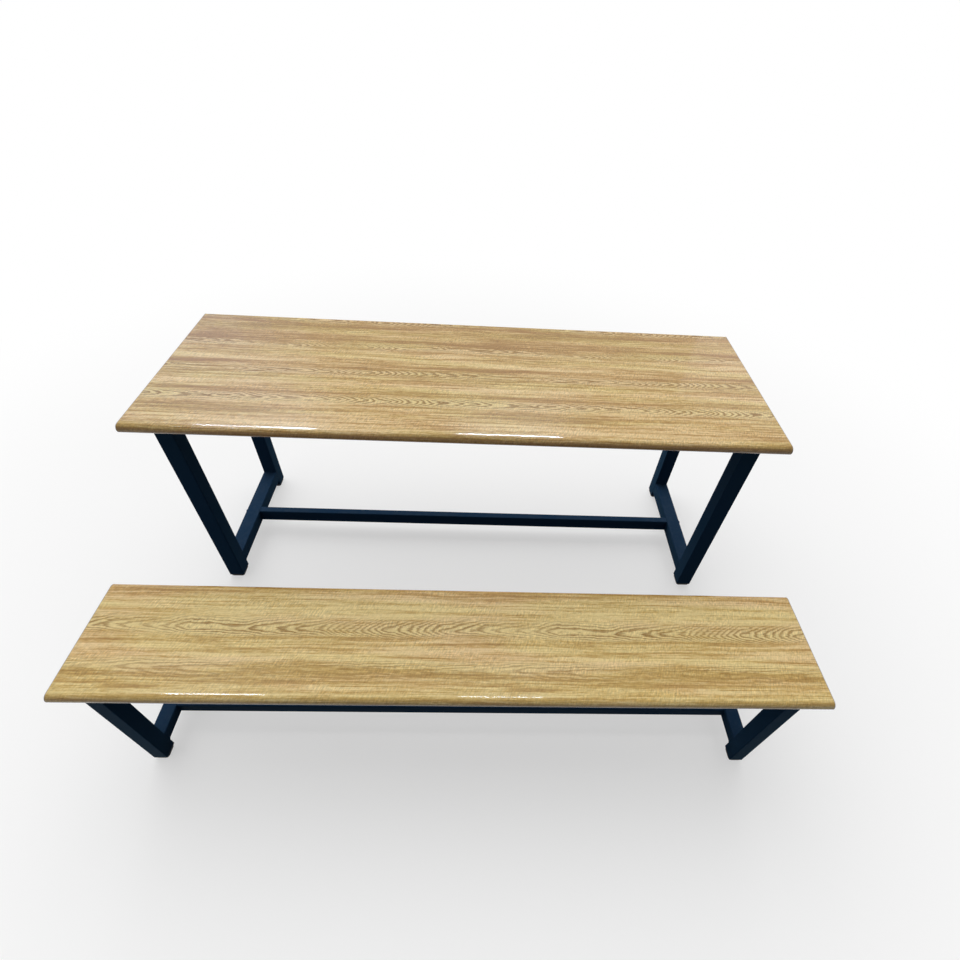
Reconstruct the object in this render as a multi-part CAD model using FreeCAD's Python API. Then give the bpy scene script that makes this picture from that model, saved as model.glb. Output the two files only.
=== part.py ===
import FreeCAD, Part
import os
from math import pi, cos, sin

# A canteen table and its bench: laminated boards on welded end frames of square steel tube,
# with a low stretcher between the two frames of each. All lengths are in millimetres.
# The origin is on the floor under the middle of the set, +X runs along the boards,
# +Y from the bench towards the table, and +Z is up.

bench_to_table_gap = 270.0      # from the bench's back edge to the table's front edge

table_length = 1800.0
table_depth = 600.0
table_height = 750.0
table_tube = 50.0               # outer size of the square tube
table_end_inset = 50.0          # from the board's end to the outside of the frame
table_edge_inset = 50.0         # from the board's long edge to the face of the leg
table_rail_clearance = 35.0     # from the floor to the underside of the lower rail
table_top_rail_height = 25.0
table_stretcher_depth = 25.0
table_screws_per_rail = 3

bench_length = 1800.0
bench_depth = 300.0
bench_height = 450.0
bench_tube = 40.0
bench_end_inset = 55.0
bench_edge_inset = 15.0
bench_rail_clearance = 40.0
bench_top_rail_height = 20.0
bench_stretcher_depth = 40.0
bench_screws_per_rail = 2

# Board: chipboard core, decor laminate bent round both long edges, balancing sheet beneath
board_thickness = 28.0
sheet_thickness = 0.8           # decor laminate and balancing sheet
sheet_return = 16.0             # how far the laminate runs in on the flat underside
sheet_joint = 0.5               # open joint between the laminate's edge and the balancing sheet
edging_thickness = 2.0          # strip on each short end
edging_round = 1.0              # rounding of the strip's outer arris

# Steel tube
tube_wall = 1.5
tube_corner = 3.0               # outer corner radius

# Plastic glide in the foot of each leg
glide_flange = 3.0              # plate between the tube's end and the pad
glide_pad = 9.0                 # height of the pad that stands on the floor
glide_pad_inset = 1.5           # from the tube's face to the pad's side
glide_pad_corner = 9.0
glide_pad_edge = 2.5            # rounding at the floor
plug_height = 18.0              # hollow plug inside the tube
plug_wall = 2.0
plug_gap = 0.3                  # all round, between plug and tube

# Plastic cap in each end of a top rail
cap_plate = 2.0
cap_edge = 0.8

# Machine bolts that pull the stretcher against the lower rails
bolt_radius = 4.0
bolt_hole_gap = 0.4             # radial, in the rail
bolt_head_radius = 7.0
bolt_head_height = 4.4
bolt_head_round = 2.5
bolt_socket_width = 5.0         # across the flats
bolt_socket_depth = 2.6
bolt_past_plate = 2.0
bolt_spacing_share = 0.44       # of the lower rail's height
washer_radius = 8.0
washer_thickness = 1.6
end_plate_thickness = 6.0       # threaded plate welded into each end of the stretcher
end_plate_gap = 0.2             # all round, filled by the weld

# Wood screws that hold the board on the top rails
screw_radius = 2.5
screw_hole_gap = 0.3            # radial, in the rail
screw_bite = 18.0               # length inside the board
screw_tip = 5.0
screw_head_radius = 4.8
screw_head_height = 3.0
screw_head_round = 1.4
screw_slot_width = 1.2
screw_slot_length = 5.2
screw_slot_depth = 1.6
screw_pilot_past_tip = 1.0
screw_row_share = 0.7           # of the clear length between the legs

quarter_turn = 90
x_axis = FreeCAD.Vector(1, 0, 0)
y_axis = FreeCAD.Vector(0, 1, 0)
z_axis = FreeCAD.Vector(0, 0, 1)
origin = FreeCAD.Vector(0, 0, 0)


def bar(width, depth, length, corner):
    """Solid bar standing on the origin along Z, its four long edges rounded."""
    block = Part.makeBox(width, depth, length, FreeCAD.Vector(-width / 2, -depth / 2, 0))
    upright = [edge for edge in block.Edges
               if edge.BoundBox.ZLength > edge.BoundBox.XLength + edge.BoundBox.YLength]
    return block.makeFillet(corner, upright)


def tube(width, depth, length):
    """Hollow rectangular tube standing on the origin along Z."""
    bore = bar(width - 2 * tube_wall, depth - 2 * tube_wall, length, tube_corner - tube_wall)
    return bar(width, depth, length, tube_corner).cut(bore)


def rounded_at(shape, level, radius):
    """Round the edges that lie flat at one height."""
    ring = [edge for edge in shape.Edges
            if edge.BoundBox.ZMin > level - radius / 2 and edge.BoundBox.ZMax < level + radius / 2]
    return shape.makeFillet(radius, ring)


def moved(shape, x, y, z):
    placed = shape.copy()
    placed.translate(FreeCAD.Vector(x, y, z))
    return placed


def laid_along_x(shape):
    return shape.copy().rotate(origin, y_axis, quarter_turn)


def laid_along_y(shape):
    return shape.copy().rotate(origin, x_axis, -quarter_turn)


def board_slice(depth, thickness, length):
    """Board with fully rounded long edges, centred on the origin, lying along X."""
    radius = thickness / 2
    flat = depth / 2 - radius
    front_up, front_down = FreeCAD.Vector(0, -flat, radius), FreeCAD.Vector(0, -flat, -radius)
    back_up, back_down = FreeCAD.Vector(0, flat, radius), FreeCAD.Vector(0, flat, -radius)
    outline = Part.Wire([
        Part.makeLine(front_up, back_up),
        Part.Arc(back_up, FreeCAD.Vector(0, depth / 2, 0), back_down).toShape(),
        Part.makeLine(back_down, front_down),
        Part.Arc(front_down, FreeCAD.Vector(0, -depth / 2, 0), front_up).toShape(),
    ])
    return moved(Part.Face(outline).extrude(FreeCAD.Vector(length, 0, 0)), -length / 2, 0, 0)


def hexagon_prism(across_flats, height):
    sides = 6
    corner_radius = across_flats / 2 / cos(pi / sides)
    angles = [2 * pi * k / sides for k in range(sides)] + [0]
    corners = [FreeCAD.Vector(corner_radius * cos(a), corner_radius * sin(a), 0) for a in angles]
    return Part.Face(Part.makePolygon(corners)).extrude(FreeCAD.Vector(0, 0, height))


def glide(tube_size):
    """Foot of a leg, standing on the floor: pad, flange and hollow ribbed plug."""
    pad_size = tube_size - 2 * glide_pad_inset
    pad = rounded_at(bar(pad_size, pad_size, glide_pad, glide_pad_corner), 0, glide_pad_edge)
    flange = moved(bar(tube_size, tube_size, glide_flange, tube_corner), 0, 0, glide_pad)
    insert = moved(plug(tube_size, tube_size), 0, 0, glide_pad + glide_flange)
    return pad.fuse([flange, insert]).removeSplitter()


def plug(width, depth):
    """Hollow insert for a tube's end, open at the top, with a cross rib inside."""
    outer_width = width - 2 * (tube_wall + plug_gap)
    outer_depth = depth - 2 * (tube_wall + plug_gap)
    corner = tube_corner - tube_wall
    shell = bar(outer_width, outer_depth, plug_height, corner)
    pocket = bar(outer_width - 2 * plug_wall, outer_depth - 2 * plug_wall, plug_height, corner)
    rib = Part.makeBox(plug_wall, outer_depth - plug_wall, plug_height,
                       FreeCAD.Vector(-plug_wall / 2, -(outer_depth - plug_wall) / 2, 0))
    cross_rib = Part.makeBox(outer_width - plug_wall, plug_wall, plug_height,
                             FreeCAD.Vector(-(outer_width - plug_wall) / 2, -plug_wall / 2, 0))
    return shell.cut(pocket).fuse([rib, cross_rib])


def rail_cap(width, height):
    """End cap of a top rail: its plate lies below the origin and its plug points along +Z."""
    plate = rounded_at(bar(width, height, cap_plate, tube_corner), 0, cap_edge)
    return plate.fuse(moved(plug(width, height), 0, 0, cap_plate)).removeSplitter()


def machine_bolt(length):
    """Button-head bolt along +Z whose head bears at the origin."""
    head = moved(Part.makeCylinder(bolt_head_radius, bolt_head_height), 0, 0, -bolt_head_height)
    head = rounded_at(head, -bolt_head_height, bolt_head_round)
    socket = moved(hexagon_prism(bolt_socket_width, bolt_socket_depth), 0, 0, -bolt_head_height)
    return head.fuse(Part.makeCylinder(bolt_radius, length)).cut(socket).removeSplitter()


def washer():
    """Flat washer whose far face is at the origin, for a bolt along +Z."""
    disc = Part.makeCylinder(washer_radius, washer_thickness)
    hole = Part.makeCylinder(bolt_radius + bolt_hole_gap, washer_thickness)
    return moved(disc.cut(hole), 0, 0, -washer_thickness)


def wood_screw(length):
    """Pan-head screw along +Z whose head bears at the origin."""
    head = moved(Part.makeCylinder(screw_head_radius, screw_head_height), 0, 0, -screw_head_height)
    head = rounded_at(head, -screw_head_height, screw_head_round)
    shank = Part.makeCylinder(screw_radius, length - screw_tip)
    tip = moved(Part.makeCone(screw_radius, 0, screw_tip), 0, 0, length - screw_tip)
    screw = head.fuse([shank, tip])
    for turn in (0, quarter_turn):
        slot_corner = FreeCAD.Vector(-screw_slot_length / 2, -screw_slot_width / 2, -screw_head_height)
        slot = Part.makeBox(screw_slot_length, screw_slot_width, screw_slot_depth, slot_corner)
        screw = screw.cut(slot.rotate(origin, z_axis, turn))
    return screw.removeSplitter()


class Furniture:
    """One board on two end frames; the table and the bench differ only in their sizes."""

    def __init__(self, name, centre_y, length, depth, height, tube_size, end_inset, edge_inset,
                 rail_clearance, top_rail_height, stretcher_depth, screws_per_rail):
        self.name = name
        self.centre_y = centre_y
        self.length = length
        self.depth = depth
        self.height = height
        self.tube_size = tube_size
        self.top_rail_height = top_rail_height
        self.stretcher_depth = stretcher_depth
        self.board_bottom = height - board_thickness
        self.top_rail_bottom = self.board_bottom - top_rail_height
        self.frame_depth = depth - 2 * edge_inset
        self.frame_x = length / 2 - end_inset - tube_size / 2
        self.leg_y = self.frame_depth / 2 - tube_size / 2
        self.clear_between_legs = self.frame_depth - 2 * tube_size
        self.lower_rail_z = rail_clearance + tube_size / 2
        row = self.clear_between_legs * screw_row_share
        step = row / max(screws_per_rail - 1, 1)
        self.screw_ys = [-row / 2 + step * k for k in range(screws_per_rail)]
        spacing = tube_size * bolt_spacing_share
        self.bolt_zs = [self.lower_rail_z - spacing / 2, self.lower_rail_z + spacing / 2]
        self.pieces = {}

    def add(self, piece, shape):
        self.pieces[self.name + "_" + piece] = moved(shape, 0, self.centre_y, 0)

    def board(self):
        middle_z = self.height - board_thickness / 2
        inner_length = self.length - 2 * edging_thickness
        core_depth = self.depth - 2 * sheet_thickness
        core_thickness = board_thickness - 2 * sheet_thickness
        core = moved(board_slice(core_depth, core_thickness, inner_length), 0, 0, middle_z)
        whole = moved(board_slice(self.depth, board_thickness, inner_length), 0, 0, middle_z)
        open_half = self.depth / 2 - board_thickness / 2 - sheet_return
        window = Part.makeBox(inner_length, 2 * open_half, board_thickness / 2,
                              FreeCAD.Vector(-inner_length / 2, -open_half, self.board_bottom))
        backing_half = open_half - sheet_joint
        backing = Part.makeBox(inner_length, 2 * backing_half, sheet_thickness,
                               FreeCAD.Vector(-inner_length / 2, -backing_half, self.board_bottom))
        pilot = Part.makeCylinder(screw_radius, screw_bite + screw_pilot_past_tip)
        pilots = [moved(pilot, x, y, self.board_bottom)
                  for x in (-self.frame_x, self.frame_x) for y in self.screw_ys]
        self.add("top_core", core.cut(pilots))
        self.add("top_laminate", whole.cut([core, window]))
        self.add("top_backing", backing.cut(pilots))
        strip = laid_along_x(self.edging())
        self.add("right_edging", moved(strip, inner_length / 2, 0, middle_z))
        self.add("left_edging", moved(strip.mirror(origin, x_axis), -inner_length / 2, 0, middle_z))

    def edging(self):
        """End strip as a plate in the board's profile, standing on the origin with its outside up."""
        plate = board_slice(self.depth, board_thickness, edging_thickness)
        plate = moved(plate.rotate(origin, y_axis, -quarter_turn), 0, 0, edging_thickness / 2)
        return rounded_at(plate, edging_thickness, edging_round)

    def end_frames(self):
        size = self.tube_size
        leg_bottom = glide_pad + glide_flange
        leg = tube(size, size, self.top_rail_bottom - leg_bottom)
        top_rail_z = self.board_bottom - self.top_rail_height / 2
        lower_rail = moved(laid_along_y(tube(size, size, self.clear_between_legs)),
                           0, -self.clear_between_legs / 2, self.lower_rail_z)
        top_rail = moved(laid_along_y(tube(size, self.top_rail_height, self.frame_depth)),
                         0, -self.frame_depth / 2, top_rail_z)
        bolt_hole = laid_along_x(Part.makeCylinder(bolt_radius + bolt_hole_gap, size))
        lower_rail = lower_rail.cut([moved(bolt_hole, -size / 2, 0, z) for z in self.bolt_zs])
        screw_hole = Part.makeCylinder(screw_radius + screw_hole_gap, self.top_rail_height)
        top_rail = top_rail.cut([moved(screw_hole, 0, y, self.top_rail_bottom) for y in self.screw_ys])
        front_cap = moved(laid_along_y(rail_cap(size, self.top_rail_height)),
                          0, -self.frame_depth / 2 - cap_plate, top_rail_z)
        for side, x in (("left", -self.frame_x), ("right", self.frame_x)):
            self.add(side + "_lower_rail", moved(lower_rail, x, 0, 0))
            self.add(side + "_top_rail", moved(top_rail, x, 0, 0))
            for place, y in (("front", -self.leg_y), ("back", self.leg_y)):
                cap = front_cap if place == "front" else front_cap.mirror(origin, y_axis)
                self.add(side + "_" + place + "_leg", moved(leg, x, y, leg_bottom))
                self.add(side + "_" + place + "_foot", moved(glide(size), x, y, 0))
                self.add(side + "_" + place + "_rail_cap", moved(cap, x, 0, 0))

    def stretcher(self):
        size = self.tube_size
        half = self.frame_x - size / 2
        beam = moved(laid_along_x(tube(size, self.stretcher_depth, 2 * half)), -half, 0, self.lower_rail_z)
        self.add("stretcher", beam)
        room = 2 * (tube_wall + end_plate_gap)
        plate = laid_along_x(bar(size - room, self.stretcher_depth - room, end_plate_thickness,
                                 tube_corner - tube_wall))
        thread = laid_along_x(Part.makeCylinder(bolt_radius, end_plate_thickness))
        plate = moved(plate, -half, 0, self.lower_rail_z)
        plate = plate.cut([moved(thread, -half, 0, z) for z in self.bolt_zs])
        self.add("left_stretcher_plate", plate)
        self.add("right_stretcher_plate", plate.mirror(origin, x_axis))

    def fasteners(self):
        size = self.tube_size
        outside = self.frame_x + size / 2
        bolt_length = washer_thickness + size + end_plate_thickness + bolt_past_plate
        bolt = laid_along_x(machine_bolt(bolt_length))
        ring = laid_along_x(washer())
        left_bolts = [moved(bolt, -outside - washer_thickness, 0, z) for z in self.bolt_zs]
        left_washers = [moved(ring, -outside, 0, z) for z in self.bolt_zs]
        self.add("stretcher_bolts", Part.makeCompound(
            left_bolts + [each.mirror(origin, x_axis) for each in left_bolts]))
        self.add("bolt_washers", Part.makeCompound(
            left_washers + [each.mirror(origin, x_axis) for each in left_washers]))
        screw = wood_screw(self.top_rail_height + screw_bite)
        self.add("top_screws", Part.makeCompound(
            [moved(screw, x, y, self.top_rail_bottom)
             for x in (-self.frame_x, self.frame_x) for y in self.screw_ys]))

    def build(self):
        self.board()
        self.end_frames()
        self.stretcher()
        self.fasteners()
        return self.pieces


set_depth = bench_depth + bench_to_table_gap + table_depth
table = Furniture("table", (set_depth - table_depth) / 2, table_length, table_depth, table_height,
                  table_tube, table_end_inset, table_edge_inset, table_rail_clearance,
                  table_top_rail_height, table_stretcher_depth, table_screws_per_rail)
bench = Furniture("bench", -(set_depth - bench_depth) / 2, bench_length, bench_depth, bench_height,
                  bench_tube, bench_end_inset, bench_edge_inset, bench_rail_clearance,
                  bench_top_rail_height, bench_stretcher_depth, bench_screws_per_rail)

os.makedirs("parts", exist_ok=True)
for furniture in (table, bench):
    for node, shape in furniture.build().items():
        shape.exportStep("parts/" + node + ".step")
        print(node, len(shape.Solids), "valid" if shape.isValid() else "NOT VALID", round(shape.Volume))
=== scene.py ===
import math
import bpy
import numpy as np
from mathutils import Matrix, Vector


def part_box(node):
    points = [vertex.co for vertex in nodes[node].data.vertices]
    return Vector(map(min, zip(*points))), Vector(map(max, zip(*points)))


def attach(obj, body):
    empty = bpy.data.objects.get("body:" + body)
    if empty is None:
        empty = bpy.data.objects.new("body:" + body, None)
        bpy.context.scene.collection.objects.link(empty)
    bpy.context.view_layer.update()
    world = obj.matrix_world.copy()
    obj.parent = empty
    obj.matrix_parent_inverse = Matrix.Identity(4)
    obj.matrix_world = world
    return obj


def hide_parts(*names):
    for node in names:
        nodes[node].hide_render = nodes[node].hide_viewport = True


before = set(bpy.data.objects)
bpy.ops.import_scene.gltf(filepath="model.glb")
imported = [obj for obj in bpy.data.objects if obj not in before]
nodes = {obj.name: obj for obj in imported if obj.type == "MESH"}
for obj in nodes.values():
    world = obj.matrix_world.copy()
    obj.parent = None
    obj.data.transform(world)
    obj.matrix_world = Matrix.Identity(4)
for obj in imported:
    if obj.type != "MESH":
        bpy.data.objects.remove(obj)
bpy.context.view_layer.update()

print("frame loaded:", len(nodes), "nodes")


# Meshes

def addPiece(name, vertices, faces, body, material, uv=None, sharpAngle=35.0):
    # A closed surface from whole arrays; its faces are turned round if its volume comes out below zero
    corners = vertices[faces[:, :3]]
    volume = np.einsum("ij,ij->i", corners[:, 0], np.cross(corners[:, 1], corners[:, 2])).sum()
    if faces.shape[1] == 4:
        corners = vertices[faces[:, [0, 2, 3]]]
        volume += np.einsum("ij,ij->i", corners[:, 0], np.cross(corners[:, 1], corners[:, 2])).sum()
    if volume < 0:
        faces = faces[:, ::-1]
    mesh = bpy.data.meshes.new(name)
    mesh.from_pydata(vertices.tolist(), [], faces.tolist())
    if uv is not None:
        layer = mesh.uv_layers.new(name="decor")
        layer.uv.foreach_set("vector", uv[faces.ravel()].astype(np.float32).ravel())
    mesh.polygons.foreach_set("use_smooth", np.ones(len(faces), dtype=bool))
    mesh.set_sharp_from_angle(angle=math.radians(sharpAngle))
    mesh.materials.append(material)
    piece = bpy.data.objects.new(name, mesh)
    bpy.context.scene.collection.objects.link(piece)
    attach(piece, body)
    return piece


def ringFaces(rows, columns, closeRows):
    # Quads between neighbouring rows of a grid whose columns run round and close. The last row may join the
    # first.
    row = np.arange(rows if closeRows else rows - 1)[:, None]
    column = np.arange(columns)[None, :]
    nextRow, nextColumn = (row + 1) % rows, (column + 1) % columns
    return np.stack([row * columns + column, nextRow * columns + column,
                     nextRow * columns + nextColumn, row * columns + nextColumn], axis=-1).reshape(-1, 4)


# Node recipes

shaderSockets = {
    "colour": "Base Color", "roughness": "Roughness", "normal": "Normal", "metallic": "Metallic",
    "specular": "Specular IOR Level", "coat": "Coat Weight", "coatRoughness": "Coat Roughness",
    "sheen": "Sheen Weight", "sheenRoughness": "Sheen Roughness", "sheenTint": "Sheen Tint",
}


def opaque(value):
    # A colour of three parts gets its fourth; a number or a socket stays as it is
    return (*value, 1.0) if isinstance(value, tuple) else value


class Recipe:
    # The nodes of one material or world, with a short call for each kind that they use
    def __init__(self, owner):
        self.owner = owner
        owner.use_nodes = True
        self.tree = owner.node_tree
        self.tree.nodes.clear()

    def put(self, socket, value):
        if isinstance(value, bpy.types.NodeSocket):
            self.tree.links.new(value, socket)
        elif value is not None:
            socket.default_value = value

    def add(self, kind, inputs=(), **settings):
        # The inputs are pairs of a socket's name or number and its value
        node = self.tree.nodes.new(kind)
        for key, value in settings.items():
            setattr(node, key, value)
        for key, value in dict(inputs).items():
            self.put(node.inputs[key], value)
        return node

    def math(self, operation, first, second=None, third=None):
        return self.add("ShaderNodeMath", enumerate((first, second, third)), operation=operation).outputs[0]

    def plus(self, first, second):
        return self.math("ADD", first, second)

    def minus(self, first, second):
        return self.math("SUBTRACT", first, second)

    def times(self, first, second):
        return self.math("MULTIPLY", first, second)

    def scaled(self, value, factor, start):
        return self.math("MULTIPLY_ADD", value, factor, start)

    def centred(self, noise, width):
        # A noise from 0 to 1 turned into one as wide as width, with its middle on zero
        return self.scaled(noise, width, -width / 2)

    def between(self, value, low, high, toLow=0.0, toHigh=1.0, smooth=False):
        kind = "SMOOTHSTEP" if smooth else "LINEAR"
        return self.add("ShaderNodeMapRange", enumerate((value, low, high, toLow, toHigh)),
                        interpolation_type=kind).outputs[0]

    def steps(self, value, knots, levels):
        # A line through the given levels at the given knots, flat before the first and after the last
        total = None
        for knot, nextKnot, level, nextLevel in zip(knots, knots[1:], levels, levels[1:]):
            rise = self.between(value, knot, nextKnot, 0.0, nextLevel - level)
            total = rise if total is None else self.plus(total, rise)
        return self.plus(total, levels[0])

    def vector(self, x, y, z=0.0):
        return self.add("ShaderNodeCombineXYZ", enumerate((x, y, z))).outputs[0]

    def stretch(self, vector, scale, shift=(0.0, 0.0, 0.0)):
        return self.add("ShaderNodeVectorMath", enumerate((vector, scale, shift)),
                        operation="MULTIPLY_ADD").outputs[0]

    def noise(self, vector, scale, shift=(0.0, 0.0, 0.0), detail=2.0, roughness=0.5, flat=False):
        # Noise from 0 to 1, read at the vector times the scale plus the shift. Flat noise leaves out the
        # third part of the vector.
        place = self.stretch(vector, scale, shift)
        node = self.add("ShaderNodeTexNoise",
                        {"Vector": place, "Scale": 1.0, "Detail": detail, "Roughness": roughness},
                        noise_dimensions="2D" if flat else "3D")
        return node.outputs["Fac"]

    def ramp(self, value, stops):
        # Stops are pairs of a position and a colour, or a single number for a grey
        node = self.add("ShaderNodeValToRGB")
        marks = node.color_ramp.elements
        while len(marks) < len(stops):
            marks.new(0.5)
        for mark, (position, colour) in zip(marks, stops):
            mark.position = position
            mark.color = opaque(colour if isinstance(colour, tuple) else (colour, colour, colour))
        self.put(node.inputs[0], value)
        return node.outputs[0]

    def blend(self, amount, first, second, mode="MIX"):
        # Sockets 6 and 7 are the mix node's two colours, and output 2 its colour
        return self.add("ShaderNodeMix", {0: amount, 6: opaque(first), 7: opaque(second)},
                        data_type="RGBA", blend_type=mode).outputs[2]

    def bump(self, height, strength, distance):
        return self.add("ShaderNodeBump",
                        {"Strength": strength, "Distance": distance, "Height": height}).outputs[0]

    def here(self, space="Object"):
        return self.add("ShaderNodeTexCoord").outputs[space]

    def finish(self, **inputs):
        shader = self.add("ShaderNodeBsdfPrincipled",
                          {shaderSockets[key]: opaque(value) for key, value in inputs.items()})
        return self.close(shader)

    def close(self, shader, kind="ShaderNodeOutputMaterial"):
        self.add(kind, {0: shader.outputs[0]})
        return self.owner


# Printed wood laminate

decorPrint = {
    "repeat": 0.915,                        # length after which the printed paper repeats, in metres
    "pale": (0.755, 0.602, 0.312),
    "gold": (0.545, 0.366, 0.122),
    "brown": (0.358, 0.202, 0.052),
    "line": (0.262, 0.128, 0.010),
    "pore": (0.20, 0.120, 0.045),
    "rosy": (1.0, 0.938, 0.985),            # tint of the pinker areas
    "honey": (0.99, 1.0, 0.912),            # tint of the yellower areas
    # Rings counted along a repeat: a leaf, a long wedge, dense chevrons, longer ones, and back to the leaf
    "turnKnots": (0.0, 0.02, 0.07, 0.15, 0.36, 0.52, 0.55, 0.68, 0.95, 1.0),
    "turnRings": (0.0, -0.15, -0.6, -0.4, 3.8, 12.2, 12.8, 18.6, 23.4, 25.0),
    "ringPower": 1.45,                      # above 1, the rings draw together away from the band's middle
    "ringTones": ((0.0, 0.85), (0.10, 0.25), (0.26, 0.0), (0.53, 0.08), (0.74, 0.80), (0.92, 1.0)),
    "ringWidth": 0.0125,                    # distance from the band's middle to the first ring, in metres
    "wander": 0.024, "wriggle": 0.012,      # how far a band strays sideways, slowly and quickly, in metres
    "feather": 0.9,                         # how many rings the feathered edge of a line spans
    "lineDepth": 0.94,
    "bandCore": 0.35,                       # share of a band's half width with the figure at full strength
    "patchFrom": (0.32, 0.52),              # noise levels between which the figure fills in
    "drift": 0.011,                         # how far the streaks stray sideways, in metres
    "zoneShare": 0.66, "baseTone": 0.14,    # before the grain, tone is the zone's by the share, plus the base
    "fleckSlant": 0.35,                     # how far a fleck leans along the board for its length across
    "fleckDepth": 0.95, "fibreDepth": 0.24,
    "fleckFrom": (0.3, 0.7),                # noise levels between which the flecks grow from few to plenty
    "fleckPlenty": (0.35, 1.25),
    "poreFrom": (0.60, 0.72),               # noise levels between which a pore appears
    "poreBase": 0.28, "poreInLines": 0.6,   # how strong the pores are, and how much more so in dark lines
}

# How finely each noise of the print is read, how far it is moved, its detail and its roughness. The scales
# are for the wound length, twice, and the way across, or for the length and the way across where it is flat.
# In a shift, "seed" stands for the board's own seed.
printNoises = {
    "wander": {"scale": (3.0, 3.0, 7.0), "shift": ("seed", 0.0, 0.0), "detail": 1.0},
    "wriggle": {"scale": (11.0, 11.0, 40.0), "shift": (0.0, "seed", 0.0), "roughness": 0.45},
    "uneven": {"scale": (13.0, 13.0, 30.0), "shift": ("seed", 5.0, 0.0)},
    "patch": {"scale": (5.0, 5.0, 9.0), "shift": (7.0, "seed", 2.0)},
    "drift": {"scale": (4.5, 4.5, 16.0), "shift": (2.0, "seed", 6.0)},
    "broad": {"scale": (1.6, 1.6, 32.0), "shift": ("seed", 3.0, 0.0), "detail": 3.0},
    "streak": {"scale": (2.7, 2.7, 115.0), "shift": (1.0, "seed", 5.0), "detail": 4.0, "roughness": 0.62},
    "thread": {"scale": (6.0, 6.0, 400.0), "shift": (4.0, "seed", 9.0), "detail": 3.0, "roughness": 0.6},
    "dash": {"scale": (42.0, 42.0, 300.0), "shift": (7.0, "seed", 2.0), "detail": 3.0, "roughness": 0.8},
    "hue": {"scale": (2.6, 2.6, 19.0), "shift": (8.0, "seed", 1.0)},
    "feather": {"scale": (38.0, 360.0, 1.0), "detail": 4.0, "roughness": 0.7, "flat": True},
    "fleck": {"scale": (235.0, 85.0, 1.0), "roughness": 0.6, "flat": True},
    "fleckPatch": {"scale": (9.0, 30.0, 1.0), "flat": True},
    "fibre": {"scale": (16.0, 1100.0, 1.0), "detail": 3.0, "roughness": 0.6, "flat": True},
    "pore": {"scale": (95.0, 1700.0, 1.0), "shift": (3.0, 8.0, 0.0), "detail": 1.0, "flat": True},
    "ripple": {"scale": (28.0, 90.0, 1.0), "detail": 1.0, "flat": True},
    "rub": {"scale": (7.0, 13.0, 1.0), "detail": 5.0, "roughness": 0.7, "flat": True},
}

lacquer = {
    "rubFrom": (0.35, 0.75),                # noise levels between which rubbing dulls the face
    "roughness": (0.035, 0.060),
    "rippleStrength": 0.0035, "rippleHeight": 0.0006,
    "face": {"specular": 0.24, "coat": 0.34, "coatRoughness": 0.26},
}

tableDecor = {
    "bandLines": (-0.125, 0.018, 0.176, 0.318, 0.453, 0.600),   # middles of the bands, from the back edge
    "bandStrength": (1.0, 1.0, 0.85, 0.95, 1.0, 0.2),
    "bandWidth": 0.026,                     # half the width of a band, in metres
    "bandShift": (0.20, 0.194, 0.079, 0.194, 0.257, 0.6),       # how far each band is moved on, in repeats
    "bandPace": (0.84, 0.84, 0.84, 0.84, 0.84, 0.84),           # each band's share of the rings in turnRings
    "glow": 0.70,                           # how much paler the ground is under the figure
    "uneven": 3.0,                          # how many rings the count strays by
    "gaps": 0.12,                           # how much of the figure is left where it is weakest
    "broad": 0.70, "streak": 2.6, "thread": 2.4, "dash": 1.95,  # strength of each scale of grain
    "fleck": 1.05,
    "rosyFrom": (0.38, 0.58),               # where the slow hue noise turns from honey to rosy
    "tint": (0.995, 0.980, 0.895),
    "direction": -1.0,                      # the print lies the other way round
    "paintedShadeLines": (0.602, 0.610, 0.619),     # where painted shade darkens the round of the front edge
    "paintedShades": (1.0, 0.86, 0.72),
    "seed": 3.0,
    # Tone of the ground at lines across the board, from the back edge: 0 is brown and 1 is pale. The tones
    # were matched to the board's rows as lit, so they are partly painted shade: darker towards the back, and
    # brown on the round of the front edge
    "zoneLines": (-0.04, 0.0, 0.04, 0.075, 0.10, 0.13, 0.15, 0.18, 0.22, 0.26, 0.285, 0.32,
                  0.36, 0.39, 0.41, 0.425, 0.45, 0.49, 0.52, 0.55, 0.584, 0.597, 0.61),
    "zoneAndShadeTones": (-0.10, 0.10, -0.05, 0.20, 0.65, 0.02, 0.02, 0.48, 0.75, 1.00, 0.14, 0.42,
                  0.72, 0.98, 0.70, 0.20, 1.00, 0.52, 0.62, 0.86, 0.68, 0.00, -0.30),
}

benchDecor = {
    "bandLines": (-0.03, 0.123, 0.226, 0.36),
    "bandStrength": (0.0, 1.0, 0.55, 0.0),
    "bandWidth": 0.036,
    "bandShift": (0.0, 0.74, 0.37, 0.0),
    "bandPace": (1.0, 1.0, 0.20, 1.0),
    "glow": 0.50,
    "uneven": 2.2,
    "gaps": 0.5,
    "broad": 0.66, "streak": 2.0, "thread": 1.8, "dash": 1.35,
    "fleck": 0.88,
    "rosyFrom": (0.46, 0.70),
    "tint": (1.005, 0.985, 0.910),
    "direction": 1.0,
    # painted shade on the round of the front edge
    "paintedShadeLines": (0.304, 0.309, 0.3145),
    "paintedShades": (1.0, 0.84, 0.62),
    "seed": 11.0,
    # Tone of the ground at lines across the board, as for the table. The last tones, on the round of the
    # front edge, are partly painted shade
    "zoneLines": (-0.04, 0.0, 0.012, 0.035, 0.07, 0.11, 0.15, 0.18, 0.21, 0.235, 0.26, 0.284, 0.297, 0.31),
    "zoneAndShadeTones": (0.0, 0.0, 0.40, 1.00, 1.08, 0.80, 0.72, 1.02, 0.82, 0.22, 0.60, 0.85, 0.72, 0.25),
}


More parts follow.
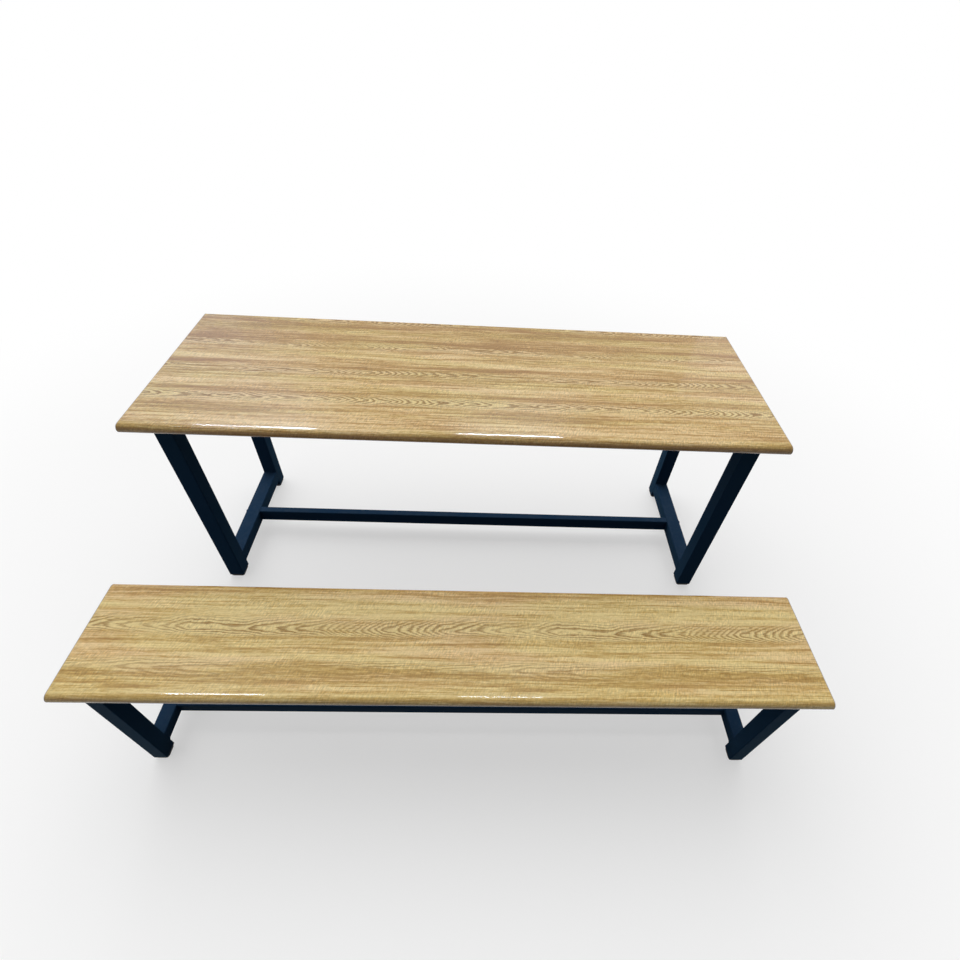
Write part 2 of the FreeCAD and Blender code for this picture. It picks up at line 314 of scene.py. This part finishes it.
class DecorRecipe(Recipe):
    # Oak print: figured bands whose lines are the rings of a log cut lengthwise, plain streaks between them
    def __init__(self, name, decor):
        super().__init__(bpy.data.materials.new(name))
        self.decor = decor
        sheetMap = self.add("ShaderNodeUVMap", uv_map="decor")
        place = self.add("ShaderNodeSeparateXYZ", {"Vector": sheetMap.outputs[0]})
        self.along, self.across = place.outputs[0], place.outputs[1]
        self.sheet = self.vector(self.along, self.across)
        # The length is wound on a circle one repeat round, so noise read there repeats with the print
        self.lap = self.times(self.along, decor["direction"] / decorPrint["repeat"])
        turn = self.times(self.lap, 2 * math.pi)
        radius = decorPrint["repeat"] / (2 * math.pi)
        self.roundX = self.times(self.math("COSINE", turn), radius)
        self.roundY = self.times(self.math("SINE", turn), radius)
        self.printed = self.vector(self.roundX, self.roundY, self.across)

    def read(self, name, place):
        # The noise of that name in printNoises, with the board's own seed in its shift
        row = printNoises[name]
        shift = row.get("shift", (0.0, 0.0, 0.0))
        shift = tuple(self.decor["seed"] if part == "seed" else part for part in shift)
        return self.noise(place, **{**row, "shift": shift})

    def figure(self):
        # How strong the figure is at each place, and how dark its lines are there
        decor = self.decor
        lines = decor["bandLines"]
        bands = [float(k) for k in range(len(lines))]
        plank = self.steps(self.across, lines, bands)       # number of the band, with fractions in between
        band = self.math("ROUND", plank)
        spacing = (lines[-1] - lines[0]) / (len(lines) - 1)
        aside = self.times(self.minus(plank, band), spacing)
        for stray in ("wander", "wriggle"):
            aside = self.plus(aside, self.centred(self.read(stray, self.printed), decorPrint[stray]))
        away = self.math("ABSOLUTE", aside)

        # Ring number: it rises with the distance from the band's middle, slowly at first, and falls along the
        # board
        outward = self.math("POWER", self.times(away, 1 / decorPrint["ringWidth"]), decorPrint["ringPower"])
        bandLap = self.math("FRACT", self.plus(self.lap, self.steps(band, bands, decor["bandShift"])))
        count = self.steps(bandLap, decorPrint["turnKnots"], decorPrint["turnRings"])
        rings = self.minus(outward, self.times(count, self.steps(band, bands, decor["bandPace"])))
        rings = self.plus(rings, self.centred(self.read("uneven", self.printed), decor["uneven"]))
        rings = self.plus(rings, self.centred(self.read("feather", self.sheet), decorPrint["feather"]))
        ringTone = self.ramp(self.math("FRACT", rings), decorPrint["ringTones"])

        core = decor["bandWidth"] * decorPrint["bandCore"]
        fade = self.between(away, decor["bandWidth"], core, smooth=True)
        strength = self.times(fade, self.steps(plank, bands, decor["bandStrength"]))
        patch = self.between(self.read("patch", self.printed), *decorPrint["patchFrom"], decor["gaps"], 1.0)
        bandAmount = self.times(strength, patch)
        lineAmount = self.times(self.times(ringTone, bandAmount), decorPrint["lineDepth"])
        return bandAmount, lineAmount

    def ground(self, bandAmount):
        # Broad zones of pale, gold and brown, streaks that drift and taper in them, and slow changes of hue
        moved = self.plus(self.across, self.centred(self.read("drift", self.printed), decorPrint["drift"]))
        drifted = self.vector(self.roundX, self.roundY, moved)
        # Zone tones of the print, partly painted shade: darker towards the back and on the round of the front
        # edge
        zone = self.steps(self.across, self.decor["zoneLines"], self.decor["zoneAndShadeTones"])
        tone = self.plus(self.times(zone, decorPrint["zoneShare"]), decorPrint["baseTone"])
        for grain in ("broad", "streak", "thread", "dash"):
            tone = self.plus(tone, self.centred(self.read(grain, drifted), self.decor[grain]))
        tone = self.plus(tone, self.times(bandAmount, self.decor["glow"]))
        stops = ((0.0, decorPrint["brown"]), (0.5, decorPrint["gold"]), (1.0, decorPrint["pale"]))
        colour = self.ramp(tone, stops)
        hue = self.between(self.read("hue", self.printed), *self.decor["rosyFrom"])
        return self.blend(1.0, colour, self.blend(hue, decorPrint["honey"], decorPrint["rosy"]), "MULTIPLY")

    def shade(self):
        # Short crosswise flecks and long fibres of the print, and painted shade that darkens the round of the
        # front edge
        slant = self.vector(self.scaled(self.across, decorPrint["fleckSlant"], self.along), self.across)
        few, many = (self.decor["fleck"] * share for share in decorPrint["fleckPlenty"])
        plenty = self.between(self.read("fleckPatch", self.sheet), *decorPrint["fleckFrom"], few, many)
        flecks = self.times(self.centred(self.read("fleck", slant), decorPrint["fleckDepth"]), plenty)
        fibres = self.centred(self.read("fibre", self.sheet), decorPrint["fibreDepth"])
        shade = self.plus(self.plus(flecks, 1.0), fibres)
        # Painted shade: the round of the front edge grows darker towards its underside
        return self.times(shade, self.steps(self.across, self.decor["paintedShadeLines"], self.decor["paintedShades"]))

    def make(self):
        bandAmount, lineAmount = self.figure()
        shade = self.shade()
        tint = self.stretch(self.vector(shade, shade, shade), self.decor["tint"])
        colour = self.blend(lineAmount, self.ground(bandAmount), decorPrint["line"])
        colour = self.blend(1.0, colour, tint, "MULTIPLY")
        pore = self.between(self.read("pore", self.sheet), *decorPrint["poreFrom"])
        pore = self.times(pore, self.scaled(lineAmount, decorPrint["poreInLines"], decorPrint["poreBase"]))
        colour = self.blend(pore, colour, decorPrint["pore"])

        # Lacquer-like face: a faint ripple, and rub marks that dull it here and there
        ripple = self.read("ripple", self.sheet)
        normal = self.bump(ripple, lacquer["rippleStrength"], lacquer["rippleHeight"])
        roughness = self.between(self.read("rub", self.sheet), *lacquer["rubFrom"], *lacquer["roughness"])
        return self.finish(colour=colour, roughness=roughness, normal=normal, **lacquer["face"])


boardSheet = {
    "thickness": 0.0008,
    "underside": 0.016,         # how far the sheet runs in below the board
    "backMark": 0.020,          # the way across is fixed at a line this far in from the back edge
    "easeLength": 0.012,        # the flat begins to fall away this far before the round edge
    "easeAngle": 2.6,           # degrees that it has turned by where the round edge begins
    "easeSteps": 8,
    "roundSteps": 30,
    "flatSteps": 28,
    "underSteps": 3,
    "lengthSteps": 60,
}


def edgePath(height):
    # One edge of the sheet, from the end of its return below the board to the start of the flat: distance in
    # from the edge, height above the underside, and the angle of the normal from upright. The round is part
    # of a circle that meets the underside level. The ease is a parabola whose slope grows evenly up to the
    # round's first angle.
    ease, turn = boardSheet["easeLength"], math.radians(boardSheet["easeAngle"])
    drop = ease * math.tan(turn) / 2
    radius = (height - drop) / (1 + math.cos(turn))
    below = np.linspace(1, 0, boardSheet["underSteps"] + 1)[:-1]
    swing = np.linspace(math.pi, turn, boardSheet["roundSteps"] + 1)
    gone = np.linspace(1, 0, boardSheet["easeSteps"] + 1)[1:]
    inward = np.concatenate([radius + boardSheet["underside"] * below, radius * (1 - np.sin(swing)),
                             radius * (1 - math.sin(turn)) + ease * (1 - gone)])
    rise = np.concatenate([np.zeros(len(below)), radius * (1 + np.cos(swing)), height - drop * gone ** 2])
    angle = np.concatenate([np.full(len(below), math.pi), swing, np.arctan(gone * math.tan(turn))])
    return inward, rise, angle


def sheetPath(low, high, inset):
    # Front edge, flat top and back edge in Y and Z, moved in along the normals by inset, with the way across,
    # which runs along the sheet from the back edge
    inward, rise, angle = edgePath(high[2] - low[2])
    flat = np.linspace(low[1] + inward[-1], high[1] - inward[-1], boardSheet["flatSteps"] + 1)[1:-1]
    outY = np.concatenate([low[1] + inward, flat, high[1] - inward[::-1]])
    outZ = np.concatenate([low[2] + rise, np.full(len(flat), high[2]), low[2] + rise[::-1]])
    lean = np.concatenate([-angle, np.zeros(len(flat)), angle[::-1]])
    way = np.concatenate([[0.0], np.cumsum(np.hypot(np.diff(outY), np.diff(outZ)))])
    upper = slice(len(inward) - 5, 5 - len(inward))     # the flat and a little of both eases: Y grows here
    atMark = np.interp(high[1] - boardSheet["backMark"], outY[upper], way[upper])
    across = atMark - way + boardSheet["backMark"]
    return outY - inset * np.sin(lean), outZ - inset * np.cos(lean), across


def boardTop(name, node, body, material):
    # The bent laminate as one closed strip: its outer path, then its inner path back, carried along X
    low, high = (np.array(corner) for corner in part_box(node))
    outerY, outerZ, across = sheetPath(low, high, 0.0)
    innerY, innerZ, _ = sheetPath(low, high, boardSheet["thickness"])
    y, z = np.concatenate([outerY, innerY[::-1]]), np.concatenate([outerZ, innerZ[::-1]])
    v = np.concatenate([across, across[::-1]])
    x = np.linspace(low[0], high[0], boardSheet["lengthSteps"] + 1)
    rows, columns, side = len(x), len(y), len(outerY)
    grid = np.stack(np.broadcast_arrays(x[:, None], y[None, :], z[None, :]), axis=-1).reshape(-1, 3)
    uv = np.stack(np.broadcast_arrays((x - low[0])[:, None], v[None, :]), axis=-1).reshape(-1, 2)
    k = np.arange(side - 1)
    cap = np.stack([k, k + 1, columns - 2 - k, columns - 1 - k], axis=-1)
    faces = np.concatenate([ringFaces(rows, columns, False), cap, cap[:, ::-1] + (rows - 1) * columns])
    piece = addPiece(name, grid, faces, body, material, uv)
    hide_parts(node)


tableDecorMaterial = DecorRecipe("tableDecor", tableDecor).make()
benchDecorMaterial = DecorRecipe("benchDecor", benchDecor).make()
boardTop("tableTopSheet", "table_top_laminate", "table", tableDecorMaterial)
boardTop("benchTopSheet", "bench_top_laminate", "bench", benchDecorMaterial)
print("laminate sheets made")


# Powder coat on the frames, and plain finishes on the small pieces

powderCoat = {
    "colour": (0.0140, 0.0412, 0.0900),
    "dustAndSheen": (0.10, 0.12, 0.14),
    "dustAndSheenDepth": 0.16,
    "dustAndSheenFrom": (0.14, 0.38),               # levels of the two noises together between which dust and painted sheen appear
    "dustAndSheenFacing": (0.6, 0.95),              # upward part of the normal between which they come to lie: dust, and painted sheen on the tops where light falls
    "peel": {"scale": (520.0, 520.0, 520.0), "roughness": 0.55},
    "cloud": {"scale": (9.0, 9.0, 9.0), "detail": 3.0, "roughness": 0.6},
    "speck": {"scale": (70.0, 70.0, 70.0), "detail": 4.0, "roughness": 0.75},
    "peelStrength": 0.20, "peelHeight": 0.0005,
    "cloudFrom": (0.3, 0.7),
    "roughness": (0.30, 0.42),
    "face": {"specular": 0.002, "sheen": 0.12, "sheenRoughness": 0.35, "sheenTint": (0.08, 0.60, 0.85)},
}


def powderCoatMaterial():
    recipe = Recipe(bpy.data.materials.new("powderCoat"))
    here = recipe.here()
    peel, cloud, speck = (recipe.noise(here, **powderCoat[name]) for name in ("peel", "cloud", "speck"))
    normal = recipe.add("ShaderNodeNewGeometry").outputs["Normal"]
    facing = recipe.add("ShaderNodeSeparateXYZ", {"Vector": normal}).outputs[2]
    # Dust on the upward faces, lightened further as painted sheen where light falls on the tops
    upward = recipe.between(facing, *powderCoat["dustAndSheenFacing"])
    dustAndSheen = recipe.times(recipe.between(recipe.times(cloud, speck), *powderCoat["dustAndSheenFrom"]), upward)
    dustAndSheen = recipe.times(dustAndSheen, powderCoat["dustAndSheenDepth"])
    colour = recipe.blend(dustAndSheen, powderCoat["colour"], powderCoat["dustAndSheen"])
    roughness = recipe.between(cloud, *powderCoat["cloudFrom"], *powderCoat["roughness"])
    bump = recipe.bump(peel, powderCoat["peelStrength"], powderCoat["peelHeight"])
    return recipe.finish(colour=colour, roughness=roughness, normal=bump, **powderCoat["face"])


plainGrain = {
    "cloud": {"detail": 4.0, "roughness": 0.6},
    "grit": {"detail": 3.0, "roughness": 0.6},
    "gritFiner": 9,                         # how much finer the grit is than the cloud
    "cloudFrom": (0.32, 0.68),              # noise levels between which the first tone turns into the second
    "gritFrom": (0.3, 0.7),
    "bumpHeight": 0.0004,
}

# By the ending of a node's name. The grain stretches the two noises along X, Y and Z.
plainFinishes = {
    "core": {"name": "chipboard", "tones": ((0.50, 0.36, 0.20), (0.30, 0.20, 0.10)), "scale": 180.0,
             "roughness": (0.8, 0.95), "bump": 0.4},
    "backing": {"name": "balancingSheet", "tones": ((0.30, 0.215, 0.15), (0.26, 0.185, 0.125)), "scale": 45.0,
                "roughness": (0.5, 0.62), "bump": 0.08, "grain": (0.2, 1.0, 1.0)},
    "edging": {"name": "endEdging", "tones": ((0.40, 0.345, 0.29), (0.32, 0.265, 0.215)), "scale": 90.0,
               "roughness": (0.32, 0.42), "bump": 0.06, "grain": (1.0, 0.35, 6.0)},
    "foot": {"name": "footPlastic", "tones": ((0.010, 0.010, 0.011), (0.016, 0.016, 0.018)), "scale": 120.0,
             "roughness": (0.45, 0.6), "bump": 0.25, "specular": 0.2},
    "rail_cap": {"name": "capPlastic", "tones": ((0.010, 0.010, 0.011), (0.015, 0.015, 0.016)),
                 "scale": 140.0, "roughness": (0.5, 0.6), "bump": 0.2, "specular": 0.1},
    "bolts": {"name": "blackBolts", "tones": ((0.055, 0.055, 0.06), (0.085, 0.085, 0.09)), "scale": 300.0,
              "roughness": (0.34, 0.5), "bump": 0.15, "metallic": 1.0},
    "washers": {"name": "zincWashers", "tones": ((0.62, 0.62, 0.60), (0.50, 0.50, 0.49)), "scale": 260.0,
                "roughness": (0.26, 0.4), "bump": 0.12, "metallic": 1.0},
    "screws": {"name": "zincScrews", "tones": ((0.62, 0.60, 0.54), (0.48, 0.46, 0.40)), "scale": 260.0,
               "roughness": (0.26, 0.4), "bump": 0.12, "metallic": 1.0},
    "plate": {"name": "plateSteel", "tones": ((0.30, 0.30, 0.31), (0.22, 0.21, 0.21)), "scale": 160.0,
              "roughness": (0.4, 0.6), "bump": 0.2, "metallic": 1.0},
}


def plainMaterial(name, tones, scale, roughness, bump, grain=(1.0, 1.0, 1.0), metallic=0.0, specular=0.5):
    # Two tones in a fine cloud, with a finer grit in the roughness and the bump
    recipe = Recipe(bpy.data.materials.new(name))
    here = recipe.here()
    finer = scale * plainGrain["gritFiner"]
    cloud = recipe.noise(here, tuple(scale * part for part in grain), **plainGrain["cloud"])
    grit = recipe.noise(here, tuple(finer * part for part in grain), **plainGrain["grit"])
    return recipe.finish(colour=recipe.blend(recipe.between(cloud, *plainGrain["cloudFrom"]), *tones),
                         roughness=recipe.between(grit, *plainGrain["gritFrom"], *roughness),
                         normal=recipe.bump(grit, bump, plainGrain["bumpHeight"]),
                         metallic=metallic, specular=specular)


powderCoatFinish = powderCoatMaterial()
finishes = {ending: plainMaterial(**row) for ending, row in plainFinishes.items()}
for node, cad in nodes.items():
    chosen = next((finish for ending, finish in finishes.items() if node.endswith(ending)), powderCoatFinish)
    cad.data.materials.clear()
    cad.data.materials.append(chosen)
print("finishes set on the carried-over nodes")


# Weld beads where the lower rails meet the legs

weldBead = {
    "radius": 0.0024,
    "flushRise": 0.0006,        # how far a bead stands out where the two tubes are flush
    "ripple": 0.0003,
    "ripplePace": 0.0024,
    "squareness": 0.22,         # power of the sine and cosine: the nearer to 0, the sharper the corners
    "sections": 10,
    "stepsAlong": 220,
}


def railBead(centre, width, height):
    # A ring round the rail's end: a rounded rectangle in X and Z, the cosine and sine of the turn raised to a
    # small power, that carries a circle whose radius ripples. It sinks in where the two tubes are flush.
    turn = np.linspace(0, 2 * math.pi, weldBead["stepsAlong"], endpoint=False)
    power = weldBead["squareness"]
    outX = np.sign(np.cos(turn)) * np.abs(np.cos(turn)) ** power
    outZ = np.sign(np.sin(turn)) * np.abs(np.sin(turn)) ** power
    sink = np.where(np.abs(outX) > np.abs(outZ), weldBead["radius"] - weldBead["flushRise"], 0.0)
    way = np.stack([(width / 2 - sink) * outX, np.zeros_like(outX), height / 2 * outZ], axis=-1)
    length = np.cumsum(np.linalg.norm(np.diff(way, axis=0, append=way[:1]), axis=1))
    size = weldBead["radius"] + weldBead["ripple"] * np.sin(2 * math.pi * length / weldBead["ripplePace"])
    outward = way / np.linalg.norm(way, axis=1, keepdims=True)
    spin = np.linspace(0, 2 * math.pi, weldBead["sections"], endpoint=False)
    ring = (outward[:, None, :] * np.cos(spin)[None, :, None]
            + np.array([0.0, 1.0, 0.0])[None, None, :] * np.sin(spin)[None, :, None])
    return (np.array(centre) + way[:, None, :] + ring * size[:, None, None]).reshape(-1, 3)


def weldBeads(body):
    # The four beads of one body, as one piece
    points, faces, count = [], [], 0
    for side in ("left", "right"):
        low, high = (np.array(corner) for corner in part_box(f"{body}_{side}_lower_rail"))
        middle = (low + high) / 2
        for y in (low[1], high[1]):
            ring = railBead((middle[0], y, middle[2]), high[0] - low[0], high[2] - low[2])
            points.append(ring)
            faces.append(ringFaces(weldBead["stepsAlong"], weldBead["sections"], True) + count)
            count += len(ring)
    addPiece(body + "Welds", np.concatenate(points), np.concatenate(faces), body,
             powderCoatFinish, sharpAngle=80.0)


for body in ("table", "bench"):
    weldBeads(body)
print("weld beads made")


# Floor, light and camera

studio = {
    "floorSize": 120.0,
    "floorColour": (0.90, 0.90, 0.90),
    "bounceColour": (0.075, 0.075, 0.08),
    "skyEven": 0.12,                        # light that comes evenly from the whole sky
    "skyGlow": 2.65,                        # light from a soft round glow that spreads over half the sky
    "glowFrom": (-0.20, 0.60, 0.775),       # where the glow is brightest
    "glowPower": 3.0,                       # how tightly the glow is gathered there
    "softWhite": 0.50,                      # how much of the near floor is plain white to the camera
    "whiteFrom": (1.2, 3.0),                # metres from the middle over which the rest turns white as well
}


def shownRay(recipe):
    # 1 for camera, glossy and transmission rays, 0 for the rays that carry light from surface to surface
    path = recipe.add("ShaderNodeLightPath")
    seen = recipe.math("MAXIMUM", path.outputs["Is Camera Ray"], path.outputs["Is Glossy Ray"])
    return recipe.math("MAXIMUM", seen, path.outputs["Is Transmission Ray"])


def floorMaterial():
    recipe = Recipe(bpy.data.materials.new("paleFloor"))
    distance = recipe.add("ShaderNodeVectorMath", {0: recipe.here()}, operation="LENGTH").outputs["Value"]
    whiteness = recipe.between(distance, *studio["whiteFrom"], studio["softWhite"], 1.0, smooth=True)
    near = recipe.add("ShaderNodeBsdfDiffuse", {"Color": opaque(studio["floorColour"])})
    bounce = recipe.add("ShaderNodeBsdfDiffuse", {"Color": opaque(studio["bounceColour"])})
    white = recipe.add("ShaderNodeEmission", {"Color": (1.0, 1.0, 1.0, 1.0), "Strength": 1.0})
    shown = recipe.add("ShaderNodeMixShader", enumerate((whiteness, near.outputs[0], white.outputs[0])))
    parts = (shownRay(recipe), bounce.outputs[0], shown.outputs[0])
    return recipe.close(recipe.add("ShaderNodeMixShader", enumerate(parts)))


def addFloor():
    half = studio["floorSize"] / 2
    mesh = bpy.data.meshes.new("floor")
    corners = [(-half, -half, 0), (half, -half, 0), (half, half, 0), (-half, half, 0)]
    mesh.from_pydata(corners, [], [(0, 1, 2, 3)])
    mesh.materials.append(floorMaterial())
    floor = bpy.data.objects.new("floor", mesh)
    bpy.context.scene.collection.objects.link(floor)


def addWorld():
    # White to the camera and in the gloss. The light itself is an even part and the glow, which is the cosine
    # of the angle from its middle raised to a power.
    recipe = Recipe(bpy.data.worlds.new("studio"))
    bpy.context.scene.world = recipe.owner
    toGlow = recipe.add("ShaderNodeVectorMath", {0: recipe.here("Generated"), 1: studio["glowFrom"]},
                        operation="DOT_PRODUCT").outputs["Value"]
    glow = recipe.math("POWER", recipe.math("MAXIMUM", toGlow, 0.0), studio["glowPower"])
    light = recipe.scaled(glow, studio["skyGlow"], studio["skyEven"])
    level = recipe.between(shownRay(recipe), 0.0, 1.0, light, 1.0)
    sky = recipe.add("ShaderNodeBackground", {0: (1.0, 1.0, 1.0, 1.0), 1: level})
    recipe.close(sky, "ShaderNodeOutputWorld")


lampColours = {"tube": (0.85, 1.0, 1.2), "window": (0.15, 0.40, 1.0), "ceiling": (0.5, 0.75, 1.0)}

# The tubes draw the bands of light on the front edges. The windows and the ceiling are faint areas in the
# gloss of the flat tops.
lamps = (
    {"name": "farTubeLeft", "place": (-2.49, 3.00, 3.69), "aim": (-2.49, 0.0, 0.75), "size": (0.92, 0.028),
     "level": 130.0, "colour": lampColours["tube"]},
    {"name": "farTubeLeftEnd", "place": (-1.87, 3.00, 3.69), "aim": (-1.87, 0.0, 0.75), "size": (0.34, 0.085),
     "level": 150.0, "colour": lampColours["tube"]},
    {"name": "farTubeMiddle", "place": (0.36, 3.00, 3.69), "aim": (0.36, 0.0, 0.75), "size": (1.13, 0.042),
     "level": 155.0, "colour": lampColours["tube"]},
    {"name": "nearTubeLeft", "place": (-1.82, 0.27, 3.2), "aim": (-1.82, -0.58, 0.45), "size": (0.72, 0.085),
     "level": 48.0, "colour": lampColours["tube"]},
    {"name": "nearTubeMiddle", "place": (0.27, 0.27, 3.2), "aim": (0.27, -0.58, 0.45), "size": (0.63, 0.07),
     "level": 38.0, "colour": lampColours["tube"]},
    {"name": "windowPanel", "place": (2.334, 2.781, 2.05), "aim": (0.029, -1.055, 2.05), "size": (0.94, 1.50),
     "level": 0.55, "colour": (0.95, 0.90, 1.08)},
    {"name": "leftWindowWide", "place": (-3.0, 4.0, 3.5), "aim": (-0.6, 0.3, 0.75), "size": (2.2, 2.4),
     "level": 0.24, "colour": lampColours["window"]},
    {"name": "leftWindowMiddle", "place": (-3.2, 4.0, 3.5), "aim": (-0.6, 0.3, 0.75), "size": (1.9, 2.4),
     "level": 0.22, "colour": lampColours["window"]},
    {"name": "leftWindowNarrow", "place": (-3.4, 4.0, 3.5), "aim": (-0.6, 0.3, 0.75), "size": (1.6, 2.4),
     "level": 0.20, "colour": lampColours["window"]},
    {"name": "ceilingHaze", "place": (0.36, 3.0, 3.25), "aim": (0.1, 0.1, 0.75), "size": (1.5, 0.9),
     "level": 0.20, "colour": lampColours["ceiling"]},
    {"name": "ceilingHazeCore", "place": (0.36, 3.0, 3.38), "aim": (0.1, 0.1, 0.75), "size": (1.1, 0.55),
     "level": 0.20, "colour": lampColours["ceiling"]},
    {"name": "leftFill", "place": (-2.3, -1.3, 0.7), "aim": (-0.8, 0.0, 0.35), "size": (1.2, 0.9),
     "level": 0.6, "lights": True},
)


def turnFrom(right, up, back):
    return Matrix(np.array([right, up, back]).T.tolist()).to_quaternion()


def addLamp(name, place, aim, size, level, colour=(1.0, 1.0, 1.0), lights=False):
    # An area lamp whose power gives its face the wanted brightness: pi times area times brightness. A lamp
    # that lights is left out of the gloss. The others show in the gloss alone, as the sky lights the set.
    data = bpy.data.lights.new(name, "AREA")
    data.shape = "RECTANGLE"
    data.size, data.size_y = size
    data.energy = math.pi * size[0] * size[1] * level
    data.color = colour
    lamp = bpy.data.objects.new(name, data)
    bpy.context.scene.collection.objects.link(lamp)
    lamp.location = place
    away = np.array(place) - np.array(aim)
    away = away / np.linalg.norm(away)
    side = np.cross([0.0, 0.0, 1.0], away)
    side = side / np.linalg.norm(side)
    lamp.rotation_mode = "QUATERNION"
    lamp.rotation_quaternion = turnFrom(side, np.cross(away, side), away)
    lamp.visible_camera = False
    lamp.visible_diffuse = lights
    lamp.visible_glossy = not lights


photoView = {
    "place": (0.0395, -1.0560, 1.6671),
    "yaw": 3.90, "pitch": 44.26, "roll": 4.53,      # degrees
    "focal": 521.5, "centre": (504.4, 466.3),       # pixels of a picture 960 wide
    "picture": 960.0, "sensor": 36.0,
}


def addCamera():
    yaw, pitch, roll = (math.radians(photoView[key]) for key in ("yaw", "pitch", "roll"))
    ahead = np.array([math.sin(yaw) * math.cos(pitch), math.cos(yaw) * math.cos(pitch), -math.sin(pitch)])
    level = np.array([math.cos(yaw), -math.sin(yaw), 0.0])
    above = np.cross(level, ahead)
    right = level * math.cos(roll) + above * math.sin(roll)
    up = above * math.cos(roll) - level * math.sin(roll)
    data = bpy.data.cameras.new("camera")
    data.sensor_width = photoView["sensor"]
    data.lens = photoView["focal"] * photoView["sensor"] / photoView["picture"]
    half = photoView["picture"] / 2
    data.shift_x = (half - photoView["centre"][0]) / photoView["picture"]
    data.shift_y = (photoView["centre"][1] - half) / photoView["picture"]
    camera = bpy.data.objects.new("camera", data)
    bpy.context.scene.collection.objects.link(camera)
    camera.location = photoView["place"]
    camera.rotation_mode = "QUATERNION"
    camera.rotation_quaternion = turnFrom(right, up, -ahead)
    bpy.context.scene.camera = camera


addFloor()
addWorld()
for lamp in lamps:
    addLamp(**lamp)
addCamera()
bpy.context.scene.view_settings.view_transform = "Standard"
print("floor, light and camera set")
